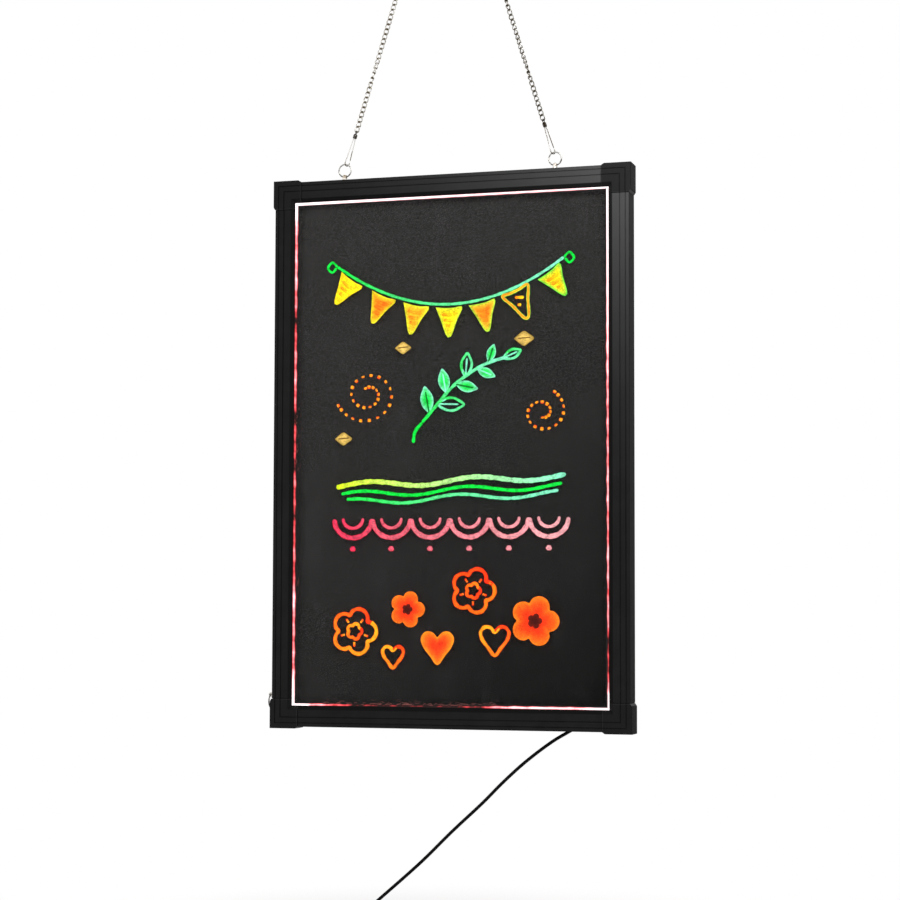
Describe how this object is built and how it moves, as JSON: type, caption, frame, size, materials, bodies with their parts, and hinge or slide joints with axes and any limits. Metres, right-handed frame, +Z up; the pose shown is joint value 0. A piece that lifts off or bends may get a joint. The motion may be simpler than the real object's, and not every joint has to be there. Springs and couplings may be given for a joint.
{
  "type": "led drawing board",
  "caption": "Edge-lit writing board in a black metal frame with moulded corners, hung by clips on a curb chain, with a control box on its back and a lead to a plug-in power supply.",
  "frame": {"origin": "inside top of the top ring, where the hook bears", "axes": "the writing side faces -Y, +X to its viewer's right, +Z up"},
  "size_m": [0.4583, 0.0667, 1.2348],
  "materials": {
    "black_aluminium": "black satin anodised, fine lengthwise lines",
    "black_plastic": "black, fine moulded grain",
    "clear_acrylic": "clear and polished",
    "black_sheet": "dull black",
    "back_board": "dull black",
    "led_strip": "white, satin",
    "nickel": "bright nickel plate",
    "dark_nickel": "dark nickel plate",
    "circuit": "green solder mask",
    "black_rubber": "dull black"
  },
  "bodies": {
    "hook_ring": {"ring_top": "nickel"},
    "apex_links": {"apex_link_left": "nickel", "apex_link_right": "nickel"},
    "suspension": {"chain_left": "nickel", "chain_right": "nickel", "swivel_left": "dark_nickel", "swivel_right": "dark_nickel", "clip_left": "nickel", "clip_right": "nickel", "ring_left": "nickel", "ring_right": "nickel"},
    "board": {"adapter_blade_left": "nickel", "adapter_blade_right": "nickel", "adapter_body": "black_plastic", "adapter_cover": "black_plastic", "adapter_gland": "black_rubber", "back_panel": "back_board", "backing_sheet": "black_sheet", "control_base": "black_plastic", "control_circuit": "circuit", "control_cover": "black_plastic", "control_screw_left": "nickel", "control_screw_right": "nickel", "cord": "black_rubber", "cord_coil": "black_rubber", "cord_gland": "black_rubber", "cord_tie": "black_rubber", "corner_cap_bottom_left": "black_plastic", "corner_cap_bottom_right": "black_plastic", "corner_cap_top_left": "black_plastic", "corner_cap_top_right": "black_plastic", "hanger_stud_left": "nickel", "hanger_stud_right": "nickel", "hanger_stud_side": "nickel", "led_strip_bottom": "led_strip", "led_strip_left": "led_strip", "led_strip_right": "led_strip", "led_strip_top": "led_strip", "rail_bottom": "black_aluminium", "rail_left": "black_aluminium", "rail_right": "black_aluminium", "rail_top": "black_aluminium", "stud_nut_left": "nickel", "stud_nut_right": "nickel", "stud_nut_side": "nickel", "writing_pane": "clear_acrylic"},
    "left_clip_leg": {"gate_left": "nickel"},
    "right_clip_leg": {"gate_right": "nickel"},
    "side_ring": {"ring_side": "nickel"},
    "power_button": {"button_power": "black_rubber"},
    "mode_button": {"button_mode": "black_rubber"},
    "speed_button": {"button_speed": "black_rubber"}
  },
  "joints": [
    {"name": "side_swing", "type": "hinge", "parent": "hook_ring", "child": "apex_links", "pos_m": [0, 0, -0.0063], "axis": [0, 1, 0], "range_deg": [-25, 25]},
    {"name": "front_swing", "type": "hinge", "parent": "apex_links", "child": "suspension", "pos_m": [0, 0, -0.01676], "axis": [1, 0, 0], "range_deg": [-30, 30]},
    {"name": "board_tilt", "type": "hinge", "parent": "suspension", "child": "board", "pos_m": [0, 0, -0.39935], "axis": [1, 0, 0], "range_deg": [-60, 60]},
    {"name": "left_clip_leg_squeeze", "type": "hinge", "parent": "suspension", "child": "left_clip_leg", "pos_m": [-0.10794, 0.00055, -0.35655], "axis": [-0.6754, 0.7071, 0.2093], "range_deg": [0, 8], "stiffness_Nm_per_rad": 0.1, "springref_deg": -2.86},
    {"name": "right_clip_leg_squeeze", "type": "hinge", "parent": "suspension", "child": "right_clip_leg", "pos_m": [0.109, 0.00055, -0.35622], "axis": [-0.6754, 0.7071, -0.2093], "range_deg": [0, 8], "stiffness_Nm_per_rad": 0.1, "springref_deg": -2.86},
    {"name": "side_ring_swing", "type": "hinge", "parent": "board", "child": "side_ring", "pos_m": [-0.202, 0, -0.97055], "axis": [0, 1, 0], "range_deg": [0, 170]},
    {"name": "power_button_press", "type": "slide", "parent": "board", "child": "power_button", "axis": [0, -1, 0], "range_m": [0, 0.0009], "stiffness_N_per_m": 1500, "springref_m": -0.0005},
    {"name": "mode_button_press", "type": "slide", "parent": "board", "child": "mode_button", "axis": [0, -1, 0], "range_m": [0, 0.0009], "stiffness_N_per_m": 1500, "springref_m": -0.0005},
    {"name": "speed_button_press", "type": "slide", "parent": "board", "child": "speed_button", "axis": [0, -1, 0], "range_m": [0, 0.0009], "stiffness_N_per_m": 1500, "springref_m": -0.0005}
  ]
}
